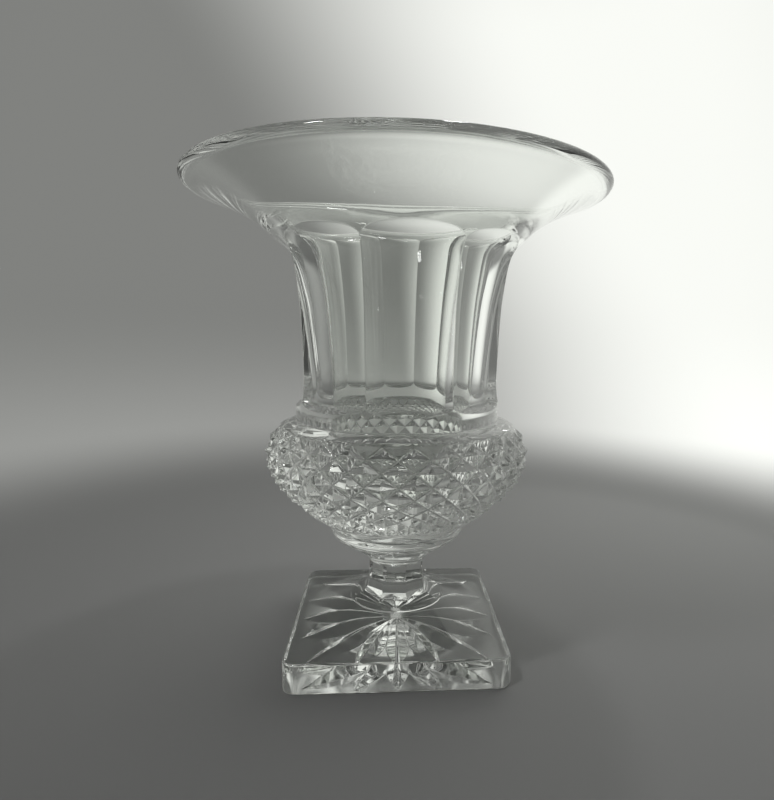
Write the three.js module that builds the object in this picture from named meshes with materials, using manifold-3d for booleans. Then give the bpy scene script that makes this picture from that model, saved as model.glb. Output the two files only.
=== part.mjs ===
// A cut crystal vase in the Medici form, 248 mm tall, resting on its square foot.
// Four gathers of clear glass: foot, stem, collar and bowl. Millimetres, +Z up.
// The origin is at the middle of the foot's underside.
import * as THREE from "three";
import { mergeVertices } from "three/addons/utils/BufferGeometryUtils.js";
import Module from "manifold-3d";

// Between two gathers, so that their faces stay apart.
const JOIN_GAP = 0.3;

// Foot: a square slab with softened edges, a low dome on it that carries the stem, and a star
// of V-grooves in its underside.
const FOOT_SIDE = 112;
const FOOT_THICKNESS = 15.5;
const FOOT_CORNER_RADIUS = 7;
const FOOT_EDGE_ROUNDING = 1;
const DOME_RADIUS = 53;
const DOME_TOP = 25.4;
const DOME_SEGMENTS = 64;
const STAR_RAYS = 16;
const RAY_DEPTH = 5.5;
const RAY_START = 2; // distance of a ray's inner tip from the middle
const RAY_TO_EDGE = 5; // flat glass left between a ray's outer tip and the foot's side
const RAY_LONGEST = 65; // the corner rays stop here
const WHEEL_EDGE_HEIGHT = 8; // height of the V on the wheel that cuts the rays
const WHEEL_SEGMENTS = 64;

// Stem: a solid round shaft, cut to eight flats that run out on its flared base.
const STEM_SIDES = 8;
const STEM_BASE_RADIUS = 26; // and that of the dome's top
const STEM_SHAFT_RADIUS = 16.8;
const STEM_APOTHEM = 14.7;
const STEM_TOP = 47.2;
const STEM_TURN = -6; // degrees that the flats are turned from the foot's sides
const STEM_CUT_LOW = 12; // the flats' cutter reaches down to here, under the flare

// Collar: the plain ring under the bowl.
const COLLAR_RADIUS = 36.6;
const COLLAR_BOTTOM_RADIUS = 16;
const COLLAR_TOP = 67.2;

// Bowl: bulb, band, fluted neck and flared mouth, as one blown wall.
const BOWL_BASE_RADIUS = 36.4;
const BULB_RADIUS = 71.2;
const BULB_HEIGHT = 108; // height of the bulb's widest level
const BAND_RADIUS = 54.6;
const BAND_BOTTOM = 125.4;
const BAND_TOP = 133;
const RIM_HEIGHT = 247.5;
const FLUTES = 8;
const FLUTE_HALF_WIDTH = 30; // half the width of the cutting wheel, wider than any flute
const FLUTE_TURN = 5.2; // degrees that the flutes are turned from the foot's sides
const FLUTE_CUT_LOW = 132.2; // the flutes' cutter starts here, in the top of the band
const FLUTE_CUT_HIGH = 238; // and ends here, above the arches
const CLEAR_RADIUS = 125; // outside everything
const ROUND_SEGMENTS = 40; // round the stem and the collar

// Diamond belt on the bulb.
const DIAMONDS = 28; // round the bulb
const BELT_TOP = 122.3;
const BELT_ROWS = 8; // half-diamond rows
const DIAMOND_DEPTH = 2.8;
const TOP_CROSSING_DEPTH = 0.8; // the grooves run out on the shoulder
const DIAMOND_SLANT = 0.93; // height of a diamond over its width
const DIAMOND_TURN = -0.7; // degrees

const wasm = await Module();
wasm.setup();

const rad = THREE.MathUtils.degToRad;
const at = (radius, height) => new THREE.Vector2(radius, height);

// A closed geometry as a solid that can be joined and cut.
function solidOf(geometry) {
  geometry.deleteAttribute("normal");
  geometry.deleteAttribute("uv");
  const merged = mergeVertices(geometry, 1e-3);
  const mesh = new wasm.Mesh({
    numProp: 3,
    vertProperties: merged.attributes.position.array,
    triVerts: new Uint32Array(merged.index.array),
  });
  return new wasm.Manifold(mesh);
}

// A solid as a named mesh.
function piece(name, solid, material) {
  const { vertProperties, triVerts } = solid.getMesh();
  const geometry = new THREE.BufferGeometry();
  geometry.setAttribute("position", new THREE.BufferAttribute(vertProperties, 3));
  geometry.setIndex(new THREE.BufferAttribute(triVerts, 1));
  geometry.computeVertexNormals();
  const mesh = new THREE.Mesh(geometry, material);
  mesh.name = name;
  return mesh;
}

function crystal(color, roughness) {
  return new THREE.MeshStandardMaterial({
    color,
    roughness,
    metalness: 0,
    transparent: true,
    opacity: 0.45,
  });
}

// A solid turned about the Z axis, from its profile of radii and heights.
function turned(profile, segments) {
  return solidOf(new THREE.LatheGeometry(profile, segments).rotateX(Math.PI / 2));
}

// Cuts one flat-faced flute on each of several sides. The face curve gives the flute's
// distance from the axis at each height; everything outside it is cut away.
function cutFlutes(body, sides, turn, halfWidth, face, low, high) {
  const outline = new THREE.Shape([...face, at(CLEAR_RADIUS, high), at(CLEAR_RADIUS, low)]);
  for (let i = 0; i < sides; i++) {
    const wheel = new THREE.ExtrudeGeometry(outline, {
      depth: 2 * halfWidth,
      bevelEnabled: false,
    });
    wheel.translate(0, 0, -halfWidth).rotateX(Math.PI / 2);
    wheel.rotateZ(rad(turn + (360 / sides) * i));
    body = body.subtract(solidOf(wheel));
  }
  return body;
}

// One ray of the star: the bite of a wheel with a V edge, standing on end under the foot.
function starRay(angle) {
  const reach = FOOT_SIDE / 2 - RAY_TO_EDGE;
  const side = Math.max(Math.abs(Math.cos(angle)), Math.abs(Math.sin(angle)));
  const end = Math.min(reach / side, RAY_LONGEST);
  const half = (end - RAY_START) / 2;
  const radius = (half ** 2 + RAY_DEPTH ** 2) / (2 * RAY_DEPTH);
  const v = WHEEL_EDGE_HEIGHT;
  const profile = [at(0, -v), at(radius - v, -v), at(radius, 0), at(radius - v, v), at(0, v)];
  const wheel = new THREE.LatheGeometry(profile, WHEEL_SEGMENTS);
  wheel.translate(RAY_START + half, 0, RAY_DEPTH - radius);
  return solidOf(wheel.rotateZ(angle));
}

function foot() {
  const half = FOOT_SIDE / 2 - FOOT_EDGE_ROUNDING;
  const corner = FOOT_CORNER_RADIUS - FOOT_EDGE_ROUNDING;
  const middle = half - corner;
  const outline = new THREE.Shape();
  outline.absarc(middle, middle, corner, 0, Math.PI / 2);
  outline.absarc(-middle, middle, corner, Math.PI / 2, Math.PI);
  outline.absarc(-middle, -middle, corner, Math.PI, Math.PI * 1.5);
  outline.absarc(middle, -middle, corner, Math.PI * 1.5, Math.PI * 2);
  const slab = new THREE.ExtrudeGeometry(outline, {
    depth: FOOT_THICKNESS - 2 * FOOT_EDGE_ROUNDING,
    bevelThickness: FOOT_EDGE_ROUNDING,
    bevelSize: FOOT_EDGE_ROUNDING,
    bevelSegments: 2,
    curveSegments: 6,
  });
  const dome = new THREE.SplineCurve([
    at(DOME_RADIUS, FOOT_THICKNESS),
    at(50, 16),
    at(44, 17.9),
    at(38, 20.2),
    at(32, 22.7),
    at(STEM_BASE_RADIUS, DOME_TOP),
  ]);
  const inSlab = FOOT_THICKNESS - 1; // the dome's solid starts here
  const profile = [at(0, inSlab), at(DOME_RADIUS, inSlab), ...dome.getPoints(10), at(0, DOME_TOP)];
  let body = solidOf(slab.translate(0, 0, FOOT_EDGE_ROUNDING)).add(turned(profile, DOME_SEGMENTS));
  for (let i = 0; i < STAR_RAYS; i++) {
    body = body.subtract(starRay((2 * Math.PI * i) / STAR_RAYS));
  }
  return body;
}

function stem() {
  const bottom = DOME_TOP + JOIN_GAP;
  const edge = 0.4; // thickness of the base's thin edge
  const flare = new THREE.SplineCurve([
    at(STEM_BASE_RADIUS, bottom + edge),
    at(22.8, 27.6),
    at(20.4, 29.6),
    at(18.2, 33.5),
    at(STEM_SHAFT_RADIUS, 39),
  ]);
  const profile = [
    at(0, bottom),
    at(STEM_BASE_RADIUS, bottom),
    ...flare.getPoints(10),
    at(STEM_SHAFT_RADIUS, STEM_TOP),
    at(0, STEM_TOP),
  ];
  const runOut = new THREE.SplineCurve([
    at(31, 25),
    at(25.4, 26.2),
    at(20, 27.6),
    at(17, 29.4),
    at(15.4, 32),
    at(STEM_APOTHEM, 35.5),
  ]);
  const top = STEM_TOP + 1; // past the shaft's end
  const face = [...runOut.getPoints(9), at(STEM_APOTHEM, top)];
  const turn = STEM_TURN - 90;
  const shaft = turned(profile, ROUND_SEGMENTS);
  return cutFlutes(shaft, STEM_SIDES, turn, STEM_SHAFT_RADIUS, face, STEM_CUT_LOW, top);
}

function collar() {
  const bottom = STEM_TOP + JOIN_GAP;
  const cone = new THREE.SplineCurve([
    at(COLLAR_BOTTOM_RADIUS, bottom),
    at(19.6, 51),
    at(27.8, 57.1),
    at(34.6, 61.6),
    at(COLLAR_RADIUS, 65),
  ]);
  const profile = [
    at(0, bottom),
    ...cone.getPoints(8),
    at(COLLAR_RADIUS, COLLAR_TOP),
    at(0, COLLAR_TOP),
  ];
  return turned(profile, ROUND_SEGMENTS);
}

// The bulb below its widest level, from the base up.
function bulbBelow() {
  return new THREE.CubicBezierCurve(
    at(BOWL_BASE_RADIUS, COLLAR_TOP + JOIN_GAP),
    at(54, 80),
    at(BULB_RADIUS, 92),
    at(BULB_RADIUS, BULB_HEIGHT),
  );
}

// The bulb's shoulder, a quarter of an ellipse, up to the band.
function shoulder() {
  const width = BULB_RADIUS - BAND_RADIUS;
  const height = BAND_BOTTOM - BULB_HEIGHT;
  return new THREE.EllipseCurve(BAND_RADIUS, BULB_HEIGHT, width, height, 0, Math.PI / 2);
}

// Levels of the diamond belt, from the top row down. Each step is shorter where the bulb is
// narrower, so that the grooves keep their slant.
function beltLevels() {
  const fine = 400;
  const line = [...shoulder().getPoints(fine).reverse(), ...bulbBelow().getPoints(fine).reverse()];
  const levels = [];
  let wait = 0;
  for (let i = 1; i < line.length && levels.length <= BELT_ROWS; i++) {
    if (line[i].y > BELT_TOP) continue;
    if (wait <= 0) {
      levels.push(line[i]);
      wait += (DIAMOND_SLANT * Math.PI * line[i].x) / DIAMONDS;
    }
    wait -= line[i].distanceTo(line[i - 1]);
  }
  return levels;
}

function bowlOutside(levels) {
  const base = levels[BELT_ROWS];
  const under = bulbBelow().getPoints(12).filter((p) => p.y < base.y - 1);
  const above = shoulder().getPoints(12).filter((p) => p.y > BELT_TOP + 0.5);
  const flare = new THREE.SplineCurve([
    at(BAND_RADIUS, BAND_TOP),
    at(54.9, 155),
    at(56.2, 185),
    at(58.6, 204),
    at(62.4, 215.5),
    at(69.2, 223.5),
    at(79.2, 230.7),
    at(94, 238),
    at(102, 240.9),
  ]);
  const rim = new THREE.SplineCurve([
    at(102, 240.9),
    at(106.6, 242.5),
    at(108, 244.8),
    at(107, 246.8),
    at(104.4, RIM_HEIGHT),
  ]);
  return { under, above, flare: flare.getPoints(16), rim: rim.getPoints(6).slice(1) };
}

// The inside of the wall, from the rim down to the floor of the well in the bulb.
function bowlInside() {
  const wall = new THREE.SplineCurve([
    at(101, 246.9),
    at(92, 243.2),
    at(75, 233.6),
    at(58.5, 222),
    at(48.8, 210),
    at(43.2, 193),
    at(39, 168),
    at(36.5, 145),
    at(35.8, 125),
    at(35, 108),
    at(31.5, 97),
    at(22, 90.5),
    at(10, 88.6),
    at(0, 88.3),
  ]);
  return wall.getPoints(24);
}

// Whether two grooves cross at a column and row of the belt; a diamond's tip is there otherwise.
const isCrossing = (column, row) => (column + row) % 2 === 1;

// Sinks the groove crossings below the skin, square to it, and folds the skin along the grooves.
function cutDiamonds(skin, profile, first) {
  const position = skin.attributes.position;
  const columns = 2 * DIAMONDS;
  for (let row = 0; row <= BELT_ROWS; row++) {
    const j = first + row;
    const along = profile[j + 1].clone().sub(profile[j - 1]).normalize();
    const depth = row === BELT_ROWS ? TOP_CROSSING_DEPTH : DIAMOND_DEPTH;
    const radius = profile[j].x - along.y * depth;
    for (let i = 0; i <= columns; i++) {
      if (!isCrossing(i, row)) continue;
      const angle = (2 * Math.PI * i) / columns;
      const height = profile[j].y + along.x * depth;
      const k = i * profile.length + j;
      position.setXYZ(k, radius * Math.sin(angle), height, radius * Math.cos(angle));
    }
  }
  for (let i = 0; i < columns; i++) {
    for (let row = -1; row <= BELT_ROWS; row++) {
      const a = i * profile.length + first + row;
      const [b, c, d] = [a + profile.length, a + profile.length + 1, a + 1];
      const fold = isCrossing(i, row + 2) ? [a, b, c, a, c, d] : [a, b, d, c, d, b];
      skin.index.array.set(fold, 6 * (i * (profile.length - 1) + first + row));
    }
  }
}

function bowl() {
  const levels = beltLevels();
  const { under, above, flare, rim } = bowlOutside(levels);
  const outside = [...under, ...levels.slice().reverse(), ...above, ...flare, ...rim];
  const profile = [at(0, outside[0].y), ...outside, ...bowlInside()];
  const first = 1 + under.length;
  const skin = new THREE.LatheGeometry(profile, 2 * DIAMONDS);
  cutDiamonds(skin, profile, first);
  skin.rotateX(Math.PI / 2).rotateZ(rad(DIAMOND_TURN));
  const face = new THREE.SplineCurve([
    at(58, FLUTE_CUT_LOW),
    at(51.4, 135.4),
    at(49.8, 142),
    at(50.1, 165),
    at(51.7, 191.5),
    at(55.6, 212),
    at(59.4, 217),
    at(66, 220.4),
    at(82, 226.4),
    at(100, 232),
  ]);
  const turn = FLUTE_TURN - 90;
  const points = face.getPoints(16);
  const [low, high] = [FLUTE_CUT_LOW, FLUTE_CUT_HIGH];
  return cutFlutes(solidOf(skin), FLUTES, turn, FLUTE_HALF_WIDTH, points, low, high);
}

const vase = new THREE.Group();
vase.add(piece("foot", foot(), crystal(0xdfe4e2, 0.05)));
vase.add(piece("stem", stem(), crystal(0xe2e6e4, 0.05)));
vase.add(piece("collar", collar(), crystal(0xe4e8e6, 0.04)));
vase.add(piece("bowl", bowl(), crystal(0xe6eae8, 0.04)));

export default vase;
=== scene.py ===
"""The looks of a cut crystal vase: bowl, collar, stem and foot, each a closed body of clear glass.

The pieces are turned about the Z axis as stacks of rings, in millimetres, and scaled to metres
when they become meshes. Angles go round from the front (-Y) towards +X. Neighbouring pieces share
a seam, a flat disc that doesn't bend light, because the real glass is fused there.
"""

import math

import bpy
import numpy as np
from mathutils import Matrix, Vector


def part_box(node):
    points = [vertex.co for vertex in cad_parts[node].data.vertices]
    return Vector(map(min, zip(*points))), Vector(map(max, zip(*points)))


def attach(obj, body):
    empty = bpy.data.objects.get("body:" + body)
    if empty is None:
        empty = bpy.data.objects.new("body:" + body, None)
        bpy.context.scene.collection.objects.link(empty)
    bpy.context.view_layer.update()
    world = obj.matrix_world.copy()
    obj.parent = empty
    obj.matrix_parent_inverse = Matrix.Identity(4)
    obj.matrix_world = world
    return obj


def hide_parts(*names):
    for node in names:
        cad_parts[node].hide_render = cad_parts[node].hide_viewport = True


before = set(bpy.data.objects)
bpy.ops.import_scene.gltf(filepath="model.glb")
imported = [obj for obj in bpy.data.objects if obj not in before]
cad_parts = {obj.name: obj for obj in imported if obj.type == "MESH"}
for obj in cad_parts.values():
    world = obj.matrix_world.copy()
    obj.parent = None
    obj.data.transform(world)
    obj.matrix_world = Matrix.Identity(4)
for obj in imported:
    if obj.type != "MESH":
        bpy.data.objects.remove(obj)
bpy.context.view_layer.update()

MM = 0.001

# Sizes that come from the frame, in millimetres.
FOOT_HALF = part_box("foot")[1].x / MM
FOOT_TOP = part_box("foot")[1].z / MM
RIM_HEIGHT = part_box("bowl")[1].z / MM
COLLAR_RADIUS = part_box("collar")[1].x / MM
SEAM_STEM = (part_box("stem")[1].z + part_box("collar")[0].z) / 2 / MM
SEAM_BOWL = (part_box("collar")[1].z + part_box("bowl")[0].z) / 2 / MM

# Foot, with its star.
SLAB_TOP = 15.5
FLAT_TOP = [(62, SLAB_TOP), (53, SLAB_TOP)]
FOOT_DOME = [*FLAT_TOP, (50, 16), (44, 17.9), (38, 20.2), (32, 22.7), (26, FOOT_TOP)]
FOOT_CORNER = 7
FOOT_EDGE = 1
STAR_RAYS = 16
RAY_DEPTH = 5.5
RAY_START = 2
RAY_TO_EDGE = 5
RAY_LONGEST = 65
FOOT_COLUMNS = 36  # to each eighth of the foot

# Stem and collar.
STEM_SIDES = 8
STEM_BASE_RADIUS = 26
STEM_TURN = -6
STEM_APOTHEM = 14.7
STEM_TOP_RADIUS = 15.6
STEM_COLUMNS = 24  # to each flat
COLLAR_COLUMNS = 192
COLLAR_TOP_RADIUS = 35.7

# Bowl.
BAND_RADIUS = 54.6
BAND_BOTTOM = 125.4
BAND_TOP = 133
BULB_RADIUS = 71.2
BULB_HEIGHT = 108
WELL_FLOOR = 88.3
FLUTES = 8
FLUTE_TURN = 5.2
DIAMONDS = 28
DIAMOND_TURN = -0.7
DIAMOND_DEPTH = 2.8
DIAMOND_SLANT = 0.93
BELT_TOP = 122.3
BELT_ROWS = 8  # half-diamonds
TOP_CROSSING_DEPTH = 0.8
BELT_SPLIT = 6  # columns of the bowl to each half-diamond
BOWL_COLUMNS = 2 * DIAMONDS * BELT_SPLIT
FIRST_RIDGE = 27  # column of the bowl that runs up the first ridge between two flutes
CREASE = 0.4  # half the width of a polished edge
GROOVE = 0.75  # half the width of the rounded floor of a cut groove
RIDGE = 0.25  # half the width of an edge between two facets of a diamond

# Glass.
GLASS_IOR = 1.55
BOWL_TINT = (0.935, 0.952, 0.93)
SOLID_TINT = (0.94, 0.956, 0.936)

# The studio round the vase: a floor, a cove up from it and a vault over it.
FLOOR = -0.3
REACH = 470  # radius of the vault
COVE = 130
VAULT = 740
FLOOR_GREY = 0.38
VAULT_GREY = 0.06
# Painted light: how brightly the wall glows on its dim side and on its bright side.
DIM_WALL = 0.17
BRIGHT_WALL = 0.92


# ---------------------------------------------------------------- curves


def curve(points, spacing):
    """A centripetal Catmull-Rom curve through the points, with a step of about the spacing."""
    p = np.array(points, float)
    p = np.vstack([2 * p[0] - p[1], p, 2 * p[-1] - p[-2]])
    knots = np.concatenate([[0], np.cumsum(np.sqrt(np.linalg.norm(np.diff(p, axis=0), axis=1)))])
    line = [p[1]]
    for i in range(1, len(p) - 2):
        a, b, c, d = p[i - 1 : i + 3]
        ta, tb, tc, td = knots[i - 1 : i + 3]
        steps = max(2, math.ceil(np.linalg.norm(c - b) / spacing))
        for t in np.linspace(tb, tc, steps + 1)[1:]:
            ab = (a * (tb - t) + b * (t - ta)) / (tb - ta)
            bc = (b * (tc - t) + c * (t - tb)) / (tc - tb)
            cd = (c * (td - t) + d * (t - tc)) / (td - tc)
            abc = (ab * (tc - t) + bc * (t - ta)) / (tc - ta)
            bcd = (bc * (td - t) + cd * (t - tb)) / (td - tb)
            line.append((abc * (tc - t) + bcd * (t - tb)) / (tc - tb))
    return np.array(line)


def bulb_below(count):
    """The bulb from its base up to its widest level, as a cubic Bezier curve."""
    base, pull = (36.4, SEAM_BOWL + 0.3), (54, 80)
    widest = (BULB_RADIUS, BULB_HEIGHT)
    a, b, c, d = np.array([base, pull, (BULB_RADIUS, 92), widest])
    t = np.linspace(0, 1, count)[:, None]
    return a * (1 - t) ** 3 + 3 * b * t * (1 - t) ** 2 + 3 * c * t**2 * (1 - t) + d * t**3


def shoulder(count):
    """The bulb's shoulder, a quarter of an ellipse, from its widest level up to the band."""
    t = np.linspace(0, math.pi / 2, count)
    width, height = BULB_RADIUS - BAND_RADIUS, BAND_BOTTOM - BULB_HEIGHT
    return np.stack([BAND_RADIUS + width * np.cos(t), BULB_HEIGHT + height * np.sin(t)], 1)


def smooth(x):
    x = np.clip(x, 0, 1)
    return x * x * (3 - 2 * x)


def shares(count, first, last):
    """Shares from 0 to 1 in count steps, of which the first and the last have the given sizes."""
    return np.concatenate([[0], np.linspace(first, 1 - last, count - 1), [1]])


# ---------------------------------------------------------------- skins


class Skin:
    """A closed body under construction: points in millimetres, and faces that look outwards."""

    def __init__(self):
        self.points = []
        self.faces = []
        self.seams = []

    def ring(self, angles, radii, heights):
        """Adds a ring of points and returns their numbers."""
        count = len(angles)
        radii, heights = np.broadcast_to(radii, count), np.broadcast_to(heights, count)
        start = len(self.points)
        self.points += list(zip(radii * np.sin(angles), -radii * np.cos(angles), heights))
        return list(range(start, start + count))

    def face(self, corners, seam=False):
        self.faces.append(corners)
        self.seams.append(seam)

    def bridge(self, first, second, seam=False):
        """Joins two rings of equal count with faces."""
        for i, j in zip(range(-1, len(first) - 1), range(len(first))):
            self.face([first[i], first[j], second[j], second[i]], seam)

    def stack(self, rings, seam=False):
        for first, second in zip(rings, rings[1:]):
            self.bridge(first, second, seam)

    def cap(self, ring, height, opening, seam=True):
        """Closes a ring with a fan round a point on the axis. An opening cap comes before the ring."""
        centre = len(self.points)
        self.points.append((0, 0, height))
        for i, j in zip(range(-1, len(ring) - 1), range(len(ring))):
            self.face([centre, ring[j], ring[i]] if opening else [ring[i], ring[j], centre], seam)


def shape(name, skin, *materials):
    """Makes a skin into a mesh object, with the second material on its seams."""
    mesh = bpy.data.meshes.new(name)
    mesh.from_pydata([(x * MM, y * MM, z * MM) for x, y, z in skin.points], [], skin.faces)
    for material in materials:
        mesh.materials.append(material)
    mesh.polygons.foreach_set("material_index", [int(s) for s in skin.seams])
    mesh.polygons.foreach_set("use_smooth", [not s for s in skin.seams])
    mesh.update()
    mesh.validate()
    made = bpy.data.objects.new(name, mesh)
    bpy.context.scene.collection.objects.link(made)
    return made


def body(name, skin, glass, seam):
    """A piece of the vase, shown in place of the CAD node of its name, which is hidden."""
    piece = shape(name + "_body", skin, glass, seam)
    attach(piece, "root")
    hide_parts(name)


# ---------------------------------------------------------------- flat-cut sides


def cut_angles(sides, columns, turn):
    """Angles of a ring round cut sides, from the first ridge on, closer together by each ridge."""
    first = 0.011
    share = np.concatenate([[0, first, 3 * first], np.linspace(6 * first, 1 - 6 * first, columns - 5)])
    share = np.concatenate([share, [1 - 3 * first, 1 - first]])
    return np.radians(turn) + (np.arange(sides)[:, None] + 0.5 + share).ravel() * 2 * math.pi / sides


def from_middle(angles, sides, turn):
    """The angle of each column from the middle of its own side."""
    step = 2 * math.pi / sides
    return (angles - math.radians(turn) + step / 2) % step - step / 2


def crossing(body_line, face_line, lean, low, high, rising):
    """Height at which a cut face, leaning away from its middle line, meets the turned body. With
    rising, it is the lowest one above which the cut is inside the body, and else the highest."""
    z = np.linspace(low, high, 4000)
    outside = np.interp(z, body_line[:, 1], body_line[:, 0])
    face = np.interp(z, face_line[:, 1], face_line[:, 0])
    heights = []
    for c in np.cos(lean):
        inside = np.nonzero(face / c < outside)[0]
        heights.append(z[inside[0] if rising else inside[-1]])
    return np.array(heights)


# ---------------------------------------------------------------- foot


def square(angles, half, corner):
    """Distance from the axis to a square with round corners."""
    a = (angles + math.pi / 4) % (math.pi / 2) - math.pi / 4
    c, s = np.cos(a), np.abs(np.sin(a))
    straight = half / c
    middle = half - corner
    along = middle * (c + s)
    arc = along + np.sqrt(np.maximum(along**2 - 2 * middle**2 + corner**2, 0))
    return np.where(straight * s <= middle, straight, arc)


def outline_angles():
    """Angles round the foot, with more columns in the round corners."""
    middle = FOOT_HALF - FOOT_CORNER
    side = np.arctan2(np.linspace(0, middle, 23), FOOT_HALF)[:-1]
    bend = np.radians(np.linspace(0, 45, FOOT_COLUMNS - 21))
    bend = np.arctan2(middle + FOOT_CORNER * np.sin(bend), middle + FOOT_CORNER * np.cos(bend))
    eighth = np.concatenate([side, bend])
    quarter = np.concatenate([eighth, math.pi / 2 - eighth[-2:0:-1]])
    return np.concatenate([quarter + k * math.pi / 2 for k in range(4)])


def ray_cut(x, y):
    """Depth of the star at points of the underside."""
    depth = np.zeros_like(x)
    for k in range(STAR_RAYS):
        a = 2 * math.pi * k / STAR_RAYS
        along = x * math.sin(a) - y * math.cos(a)
        across = np.abs(x * math.cos(a) + y * math.sin(a))
        side = max(abs(math.cos(a)), abs(math.sin(a)))
        end = min((FOOT_HALF - RAY_TO_EDGE) / side, RAY_LONGEST)
        half = (end - RAY_START) / 2
        radius = (half**2 + RAY_DEPTH**2) / (2 * RAY_DEPTH)
        inside = np.maximum(radius**2 - (along - RAY_START - half) ** 2, 0)
        bite = RAY_DEPTH - radius + np.sqrt(inside) - across
        depth = np.maximum(depth, np.where(along > 0, bite, 0))
    return depth


def star_angles(share):
    """Angles of an underside ring: its columns follow the floor, edges and ridges of each ray."""
    half_step = math.pi / STAR_RAYS
    angles = []
    for k in range(STAR_RAYS):
        middle = 2 * half_step * k
        fan = np.linspace(0, half_step, 200)
        radius = share * square(middle + fan, FOOT_HALF - FOOT_EDGE, FOOT_CORNER - FOOT_EDGE)
        depth = ray_cut(radius * np.sin(middle + fan), -radius * np.cos(middle + fan))
        cut = fan[np.nonzero(depth > 0)[0][-1]] if depth.any() else 0
        small = min(CREASE / radius[0], half_step / 12)
        edge = min(max(cut, 3 * small), half_step - 3 * small)
        sides = [small, edge / 3, 2 * edge / 3, edge - small, edge, edge + small]
        sides = np.array(sides + [(edge + half_step) / 2, half_step - small])
        angles += [*(middle - sides[::-1]), middle, *(middle + sides), middle + half_step]
    return np.array(angles)


def foot_skin():
    skin = Skin()
    inner_half, inner_corner = FOOT_HALF - FOOT_EDGE, FOOT_CORNER - FOOT_EDGE
    outline = np.roll(outline_angles(), 17)
    outline[:17] -= 2 * math.pi
    rings = []
    for share in np.concatenate([[0.02, 0.035], np.linspace(0.05, 1, 72)]):
        blend = smooth((share - 0.9) / 0.1)
        angles = star_angles(share) * (1 - blend) + outline * blend
        radii = share * square(angles, inner_half, inner_corner)
        heights = ray_cut(radii * np.sin(angles), -radii * np.cos(angles))
        rings.append(skin.ring(angles, radii, heights))
    skin.cap(rings[0], 0, True, seam=False)
    for turn in np.radians([22.5, 45, 67.5, 90]):
        out = FOOT_EDGE * math.sin(turn)
        radii = square(outline, inner_half + out, inner_corner + out)
        rings.append(skin.ring(outline, radii, FOOT_EDGE * (1 - math.cos(turn))))
    for height in np.linspace(FOOT_EDGE, SLAB_TOP - FOOT_EDGE, 7)[1:]:
        rings.append(skin.ring(outline, square(outline, FOOT_HALF, FOOT_CORNER), height))
    for turn in np.radians([67.5, 45, 22.5, 0]):
        out = FOOT_EDGE * math.sin(turn)
        radii = square(outline, inner_half + out, inner_corner + out)
        rings.append(skin.ring(outline, radii, SLAB_TOP - FOOT_EDGE * (1 - math.cos(turn))))
    even = outline[0] + np.arange(len(outline)) * 2 * math.pi / len(outline)
    dome = curve(FOOT_DOME, 0.6)[::-1]
    for share in shares(36, 0.02, 0.01)[1:]:
        angles = outline * (1 - share) + even * share
        radii = square(angles, inner_half, inner_corner) * (1 - share) + STEM_BASE_RADIUS * share
        rings.append(skin.ring(angles, radii, np.interp(radii, dome[:, 0], dome[:, 1])))
    skin.stack(rings)
    skin.cap(rings[-1], FOOT_TOP, False)
    return skin


# ---------------------------------------------------------------- stem and collar


def stem_skin():
    skin = Skin()
    flare = [(26, FOOT_TOP), (25.8, 26), (22.8, 27.6), (20.4, 29.6), (18.2, 33.5), (16.8, 39), (16.8, 48)]
    flare = curve(flare, 0.4)
    cut = [(31, 25), (25.4, 26.2), (20, 27.6), (17, 29.4), (15.4, 32), (STEM_APOTHEM, 35.5)]
    cut = curve([*cut, (STEM_APOTHEM, 48)], 0.4)
    angles = cut_angles(STEM_SIDES, STEM_COLUMNS, STEM_TURN)
    lean = from_middle(angles, STEM_SIDES, STEM_TURN)
    start = crossing(flare, cut, lean, FOOT_TOP, 46, True)
    top = SEAM_STEM - 1.3
    rings = []
    for share in shares(16, 0.02, 0.04):
        height = FOOT_TOP + (start - FOOT_TOP) * share
        rings.append(skin.ring(angles, np.interp(height, flare[:, 1], flare[:, 0]), height))
    for share in shares(34, 0.012, 0.03)[1:]:
        height = start + (top - start) * share
        rings.append(skin.ring(angles, np.interp(height, cut[:, 1], cut[:, 0]) / np.cos(lean), height))
    for share in (0.3, 0.65, 1):
        flat = STEM_APOTHEM / np.cos(lean)
        radii = flat * (1 - smooth(share)) + STEM_TOP_RADIUS * smooth(share)
        rings.append(skin.ring(angles, radii, top + (SEAM_STEM - top) * share))
    skin.cap(rings[0], FOOT_TOP, True)
    skin.stack(rings)
    skin.cap(rings[-1], SEAM_STEM, False)
    return skin


def collar_skin():
    skin = Skin()
    side = [
        (STEM_TOP_RADIUS, SEAM_STEM),
        (16.2, 48.1),
        (19.6, 51),
        (27.8, 57.1),
        (34.6, 61.6),
        (COLLAR_RADIUS - 0.1, 64.6),
        (COLLAR_RADIUS, 66),
        (36.3, 66.9),
        (COLLAR_TOP_RADIUS, SEAM_BOWL),
    ]
    angles = np.arange(COLLAR_COLUMNS) * 2 * math.pi / COLLAR_COLUMNS
    rings = [skin.ring(angles, radius, height) for radius, height in curve(side, 0.6)]
    skin.cap(rings[0], SEAM_STEM, True)
    skin.stack(rings)
    skin.cap(rings[-1], SEAM_BOWL, False)
    return skin


# ---------------------------------------------------------------- bowl


def belt_levels():
    """Levels of the diamond belt, from the bottom row up, with the direction of the skin at each.
    Each step is shorter where the bulb is narrower, so that the grooves keep their slant."""
    line = np.vstack([shoulder(400)[::-1], bulb_below(400)[::-1][1:]])
    levels, along, wait = [], [], 0
    for before, here, after in zip(line, line[1:], line[2:]):
        if here[1] > BELT_TOP or len(levels) > BELT_ROWS:
            continue
        if wait <= 0:
            levels.append(here)
            along.append((before - after) / np.linalg.norm(before - after))
            wait += DIAMOND_SLANT * math.pi * here[0] / DIAMONDS
        wait -= np.linalg.norm(here - before)
    return np.array(levels[::-1]), np.array(along[::-1])


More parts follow.
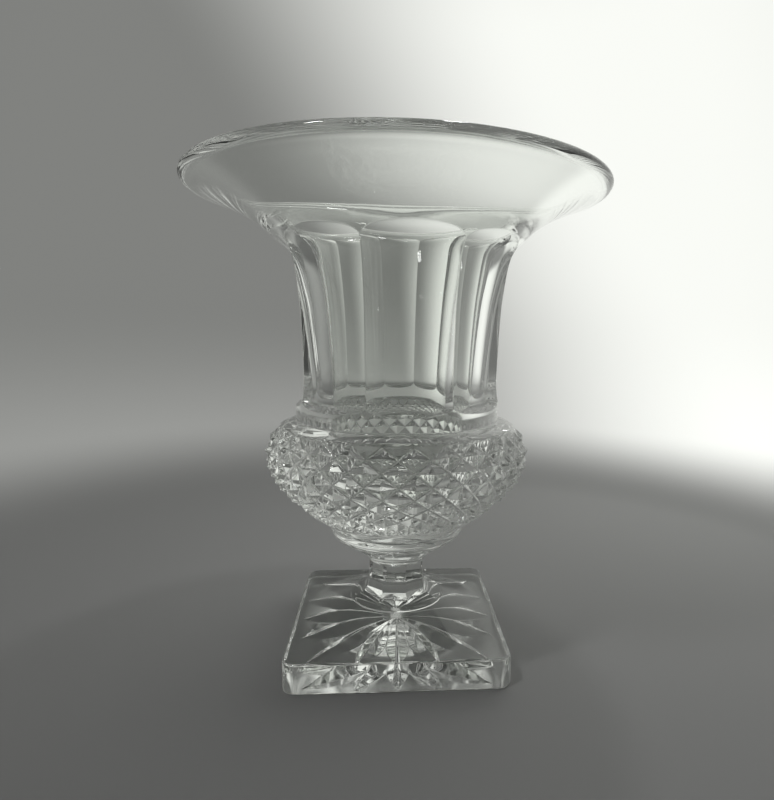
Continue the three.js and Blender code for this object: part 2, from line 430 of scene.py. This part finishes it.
def lattice(levels, along):
    """Corners of the cut diamonds: tips on the skin, and groove crossings sunk square to it."""
    draw = np.random.default_rng(7)
    columns = 2 * DIAMONDS
    angles = np.radians(DIAMOND_TURN) + np.arange(columns) * 2 * math.pi / columns
    grid = np.zeros((BELT_ROWS + 1, columns, 3))
    for row in range(BELT_ROWS + 1):
        for i in range(columns):
            depth = 0.12 + draw.normal(0, 0.05)
            if (i + row) % 2 == 1:
                depth = TOP_CROSSING_DEPTH if row == BELT_ROWS else DIAMOND_DEPTH + draw.normal(0, 0.1)
            radius = levels[row][0] - along[row][1] * depth
            height = levels[row][1] + along[row][0] * depth
            angle = angles[i] + draw.normal(0, 0.0012)
            grid[row, i] = radius * math.sin(angle), -radius * math.cos(angle), height
    return grid


class Belt:
    """The cut diamonds as flat facets with narrow polished strips along their creases."""

    def __init__(self, skin, grid):
        self.skin = skin
        self.grid = grid
        self.corners = {}
        self.edges = {}
        rows, columns = grid.shape[:2]
        for row in range(rows):
            for i in range(columns):
                self.corners[row, i] = self.add(grid[row, i])
        self.low = self.border(0)
        self.high = self.border(rows - 1)
        for row in range(rows - 1):
            for i in range(columns):
                n = (i + 1) % columns
                a, b, c, d = (row, i), (row, n), (row + 1, n), (row + 1, i)
                if (i + row) % 2 == 1:
                    self.facet(a, b, c)
                    self.facet(a, c, d)
                else:
                    self.facet(a, b, d)
                    self.facet(c, d, b)

    def add(self, point):
        self.skin.points.append(tuple(point))
        return len(self.skin.points) - 1

    def border(self, row):
        """The belt's first or last row as a ring with the bowl's columns."""
        ring = []
        columns = self.grid.shape[1]
        for i in range(columns):
            a, b = (row, i), (row, (i + 1) % columns)
            start, end = self.grid[a], self.grid[b]
            between = [self.add(start + (end - start) * k / BELT_SPLIT) for k in range(1, BELT_SPLIT)]
            self.edges[a, b] = between
            ring += [self.corners[a], *between]
        return ring

    def edge(self, a, b):
        """Points between two corners, in order from a."""
        if (b, a) in self.edges:
            return self.edges[b, a][::-1]
        if (a, b) not in self.edges:
            start, end = self.grid[a], self.grid[b]
            step = 1.3 * CREASE / np.linalg.norm(end - start)
            self.edges[a, b] = [self.add(start + (end - start) * share) for share in (step, 1 - step)]
        return self.edges[a, b]

    def facet(self, *corners):
        """One flat facet: an inset triangle, and strips out to its three edges."""
        p = [self.grid[c] for c in corners]
        area = np.linalg.norm(np.cross(p[1] - p[0], p[2] - p[0])) / 2
        sunk = [sum(c) % 2 == 1 for c in corners]
        inset = []
        for k in range(3):
            n = (k + 1) % 3
            width = GROOVE if sunk[k] and sunk[n] else RIDGE
            inset.append(width * np.linalg.norm(p[n] - p[k]) / (2 * area))
        inner = []
        for k in range(3):
            n, m = (k + 1) % 3, (k + 2) % 3
            inner.append(self.add(p[k] + (p[m] - p[k]) * inset[k] + (p[n] - p[k]) * inset[m]))
        self.skin.face(inner)
        edges = [self.edge(corners[k], corners[(k + 1) % 3]) for k in range(3)]
        for k in range(3):
            n = (k + 1) % 3
            self.skin.face([*edges[k], inner[n], inner[k]])
            self.skin.face([self.corners[corners[k]], edges[k][0], inner[k], edges[k - 1][-1]])


def bowl_skin():
    skin = Skin()
    levels, along = belt_levels()
    belt = Belt(skin, lattice(levels, along))
    step = 2 * math.pi / BOWL_COLUMNS
    even = math.radians(DIAMOND_TURN) + np.arange(BOWL_COLUMNS) * step
    cut = cut_angles(FLUTES, BOWL_COLUMNS // FLUTES, FLUTE_TURN)
    cut = np.roll(cut, FIRST_RIDGE - BOWL_COLUMNS // FLUTES)
    cut = even + (cut - even + math.pi) % (2 * math.pi) - math.pi

    # Under the belt, from the seam with the collar up.
    under = bulb_below(60)
    under = under[under[:, 1] < levels[0][1] - 0.8]
    start = curve([(COLLAR_TOP_RADIUS, SEAM_BOWL), (36.2, SEAM_BOWL + 0.25), under[3]], 0.4)
    below = [skin.ring(even, r, z) for r, z in [*start, *under[6::4]]]
    skin.cap(below[0], SEAM_BOWL, True)
    skin.stack([*below, belt.low])

    # The shoulder and the band. The columns turn there from the diamonds to the flutes.
    above = shoulder(40)
    above = above[above[:, 1] > BELT_TOP + 0.5][:-1]
    band = [(BAND_RADIUS + 0.25, BAND_BOTTOM), (BAND_RADIUS, BAND_BOTTOM + 0.3)]
    band += [(BAND_RADIUS, z) for z in np.linspace(BAND_BOTTOM + 1, BAND_TOP - 0.3, 6)]
    line = [*above, *band]
    rings = [belt.high]
    for k, (r, z) in enumerate(line):
        share = smooth((k + 1) / len(line))
        rings.append(skin.ring(even * (1 - share) + cut * share, r, z))

    # The flutes, and the flare above them.
    flare = [(BAND_RADIUS, BAND_TOP), (54.9, 155), (56.2, 185), (58.6, 204), (62.4, 215.5)]
    flare = curve([*flare, (69.2, 223.5), (79.2, 230.7), (94, 238), (102, 240.9)], 0.5)
    face = [(58, BAND_TOP - 0.8), (51.4, 135.4), (49.8, 142), (50.1, 165), (51.7, 191.5), (55.6, 212)]
    face = curve([*face, (59.4, 217), (66, 220.4), (82, 226.4), (100, 232)], 0.5)
    lean = from_middle(cut, FLUTES, FLUTE_TURN)
    low = crossing(flare, face, lean, BAND_TOP, 180, True)
    high = crossing(flare, face, lean, 180, 231, False)
    for share in shares(4, 0.2, 0.1)[:-1]:
        height = BAND_TOP + (low - BAND_TOP) * share
        rings.append(skin.ring(cut, np.interp(height, flare[:, 1], flare[:, 0]), height))
    edge = CREASE / 80
    for share in np.concatenate([[0, edge], np.linspace(0.02, 0.1, 10), np.linspace(0.12, 0.8, 26),
                                 np.linspace(0.815, 0.985, 20), [1 - edge, 1]]):
        height = low + (high - low) * share
        rings.append(skin.ring(cut, np.interp(height, face[:, 1], face[:, 0]) / np.cos(lean), height))
    for share in shares(26, 0.02, 0.04)[1:]:
        height = high + (flare[-1][1] - high) * share
        rings.append(skin.ring(cut, np.interp(height, flare[:, 1], flare[:, 0]), height))

    # The rim, and the inside down to the floor of the well in the bulb.
    rim = [(102, 240.9), (106.6, 242.6), (108, 244.8), (107.1, 246.7), (104.4, RIM_HEIGHT), (101, 246.9)]
    wall = [(92, 243.2), (75, 233.6), (58.5, 222), (48.8, 210), (43.2, 193), (39, 168), (36.5, 145)]
    well = [(35.8, 125), (35, 108), (31.5, 97), (22, 90.5), (10, 88.6), (1, WELL_FLOOR)]
    for r, z in [*curve(rim, 0.55)[1:], *curve([rim[-1], *wall, *well], 3)[1:]]:
        rings.append(skin.ring(cut, r, z))
    skin.stack(rings)
    skin.cap(rings[-1], WELL_FLOOR, False, seam=False)
    return skin


# ---------------------------------------------------------------- materials


def node(tree, kind, **inputs):
    made = tree.nodes.new(kind)
    for name, value in inputs.items():
        made.inputs[name.replace("_", " ")].default_value = value
    return made


def noise(tree, where, scale, detail=3.0):
    made = node(tree, "ShaderNodeTexNoise", Scale=scale, Detail=detail)
    tree.links.new(where.outputs["Object"], made.inputs["Vector"])
    return made.outputs["Fac"]


def spread(tree, value, low, high, to_low, to_high):
    """Maps a value from one range to another, smoothly at both ends."""
    made = tree.nodes.new("ShaderNodeMapRange")
    made.interpolation_type = "SMOOTHSTEP"
    for socket, number in zip(made.inputs[1:5], (low, high, to_low, to_high)):
        socket.default_value = number
    tree.links.new(value, made.inputs[0])
    return made.outputs[0]


def calculate(tree, operation, first, second):
    made = tree.nodes.new("ShaderNodeMath")
    made.operation = operation
    tree.links.new(first, made.inputs[0])
    tree.links.new(second, made.inputs[1])
    return made.outputs[0]


def crystal(name, tint, smudge, swell_scale, swell, worn=0.0):
    """Clear lead crystal: faint smudges, fine polishing marks and a slow swell in the surface."""
    material = bpy.data.materials.new(name)
    material.use_nodes = True
    tree = material.node_tree
    shader = tree.nodes["Principled BSDF"]
    shader.inputs["Transmission Weight"].default_value = 1.0
    shader.inputs["IOR"].default_value = GLASS_IOR
    where = tree.nodes.new("ShaderNodeTexCoord")

    mix = node(tree, "ShaderNodeMix")
    mix.data_type = "RGBA"
    mix.inputs[6].default_value = (*tint, 1)
    mix.inputs[7].default_value = (*(min(1, 1.012 * c) for c in tint), 1)
    tree.links.new(noise(tree, where, 14), mix.inputs[0])
    tree.links.new(mix.outputs[2], shader.inputs["Base Color"])

    rough = calculate(
        tree,
        "ADD",
        spread(tree, noise(tree, where, 22, 4.0), 0.52, 0.78, 0.004, smudge),
        spread(tree, noise(tree, where, 420, 2.0), 0.55, 0.8, 0.0, smudge / 3),
    )
    if worn:
        parts = node(tree, "ShaderNodeSeparateXYZ")
        tree.links.new(where.outputs["Object"], parts.inputs[0])
        rough = calculate(tree, "ADD", rough, spread(tree, parts.outputs[2], 0.0, 0.0004, worn, 0.0))
    tree.links.new(rough, shader.inputs["Roughness"])

    bump = node(tree, "ShaderNodeBump", Strength=swell, Distance=0.0006)
    tree.links.new(noise(tree, where, swell_scale, 1.0), bump.inputs["Height"])
    tree.links.new(bump.outputs[0], shader.inputs["Normal"])
    return material


def seam_glass():
    """The fused joint between two pieces: glass inside glass, which light crosses unbent."""
    material = bpy.data.materials.new("fused_seam")
    material.use_nodes = True
    tree = material.node_tree
    tree.nodes.clear()
    clear = tree.nodes.new("ShaderNodeBsdfTransparent")
    output = tree.nodes.new("ShaderNodeOutputMaterial")
    tree.links.new(clear.outputs[0], output.inputs["Surface"])
    return material


# ---------------------------------------------------------------- stage, lights and camera


def sweep():
    """Floor, cove and vault in one surface round the vase."""
    skin = Skin()
    quarter = np.radians(np.linspace(0, 90, 13))
    line = [(20 * 1.3**k, FLOOR) for k in range(11)]
    line += [(REACH - COVE + COVE * math.sin(a), FLOOR + COVE - COVE * math.cos(a)) for a in quarter]
    rise = np.radians(np.linspace(6, 86, 16))
    line += [(REACH * math.cos(a), FLOOR + COVE + VAULT * math.sin(a)) for a in rise]
    angles = np.arange(96) * -2 * math.pi / 96
    rings = [skin.ring(angles, r, z) for r, z in line]
    skin.cap(rings[0], FLOOR, True, seam=False)
    skin.stack(rings)
    skin.cap(rings[-1], FLOOR + COVE + VAULT, False, seam=False)
    stage = shape("studio_sweep", skin, sweep_paint_and_glow())


def sweep_paint_and_glow():
    """Matt paint, palest on the floor, with painted light: a wall that glows behind the vase and to its
    right.
    """
    material = bpy.data.materials.new("studio_paint_and_glow")
    material.use_nodes = True
    tree = material.node_tree
    shader = tree.nodes["Principled BSDF"]
    shader.inputs["Roughness"].default_value = 0.9
    shader.inputs["Specular IOR Level"].default_value = 0.2
    shader.inputs["Emission Color"].default_value = (0.985, 1, 0.955, 1)
    where = tree.nodes.new("ShaderNodeTexCoord")
    parts = node(tree, "ShaderNodeSeparateXYZ")
    tree.links.new(where.outputs["Object"], parts.inputs[0])
    x, y, height = parts.outputs
    grey = spread(tree, height, 0.02, 0.2, FLOOR_GREY, VAULT_GREY)
    tree.links.new(grey, shader.inputs["Base Color"])

    # Painted light: the glow grows to the right and upwards, and fades towards the front.
    lean = tree.nodes.new("ShaderNodeMath")
    lean.operation = "MULTIPLY_ADD"
    lean.inputs[1].default_value = 0.6
    tree.links.new(height, lean.inputs[0])
    tree.links.new(x, lean.inputs[2])
    wall = spread(tree, lean.outputs[0], 0.05, 0.46, DIM_WALL, BRIGHT_WALL)
    wall = calculate(tree, "MULTIPLY", wall, spread(tree, y, -0.3, 0.3, 0.0, 1.0))
    glow = calculate(tree, "ADD", wall, spread(tree, height, 0.3, 0.9, 0.03, 0.02))
    lit = spread(tree, height, 0.001, 0.06, 0.0, 1.0)
    lit = calculate(tree, "MULTIPLY", lit, spread(tree, height, 0.5, 0.85, 1.0, 0.3))
    tree.links.new(calculate(tree, "MULTIPLY", glow, lit), shader.inputs["Emission Strength"])
    return material


def softbox(name, place, target, width, height, watts):
    data = bpy.data.lights.new(name, "AREA")
    data.shape = "RECTANGLE"
    data.size, data.size_y = width, height
    data.energy = watts
    lamp = bpy.data.objects.new(name, data)
    bpy.context.scene.collection.objects.link(lamp)
    lamp.visible_camera = False
    lamp.location = place
    lamp.rotation_euler = (Vector(target) - Vector(place)).to_track_quat("-Z", "Y").to_euler()


def lights():
    middle = (0, 0, 0.13)
    softbox("window", (-0.24, -0.24, 0.58), middle, 0.05, 0.08, 0.42)
    softbox("top", (0.12, 0.12, 0.74), middle, 0.05, 0.05, 0.30)


def camera():
    data = bpy.data.cameras.new("camera")
    data.lens = 26.64
    data.shift_x = -0.054
    data.clip_start = 0.01
    eye = bpy.data.objects.new("camera", data)
    bpy.context.scene.collection.objects.link(eye)
    eye.location = (-0.0061, -0.3228, 0.1739)
    eye.rotation_euler = [math.radians(turn) for turn in (83.22, -0.8, -4.12)]
    bpy.context.scene.camera = eye


def light_paths():
    """Enough bounces for light to find its way out of the cut glass."""
    scene = bpy.context.scene
    scene.view_settings.view_transform = "Standard"
    cycles = scene.cycles
    cycles.max_bounces = 32
    cycles.transmission_bounces = 32
    cycles.glossy_bounces = 24
    cycles.transparent_max_bounces = 16
    cycles.diffuse_bounces = 3
    cycles.sample_clamp_indirect = 12


camera()
light_paths()
sweep()
lights()

seam = seam_glass()
body("bowl", bowl_skin(), crystal("bowl_crystal", BOWL_TINT, 0.03, 30, 0.1), seam)
body("collar", collar_skin(), crystal("collar_crystal", SOLID_TINT, 0.02, 60, 0.15), seam)
body("stem", stem_skin(), crystal("stem_crystal", SOLID_TINT, 0.02, 50, 0.1), seam)
body("foot", foot_skin(), crystal("foot_crystal", SOLID_TINT, 0.03, 40, 0.1, worn=0.12), seam)
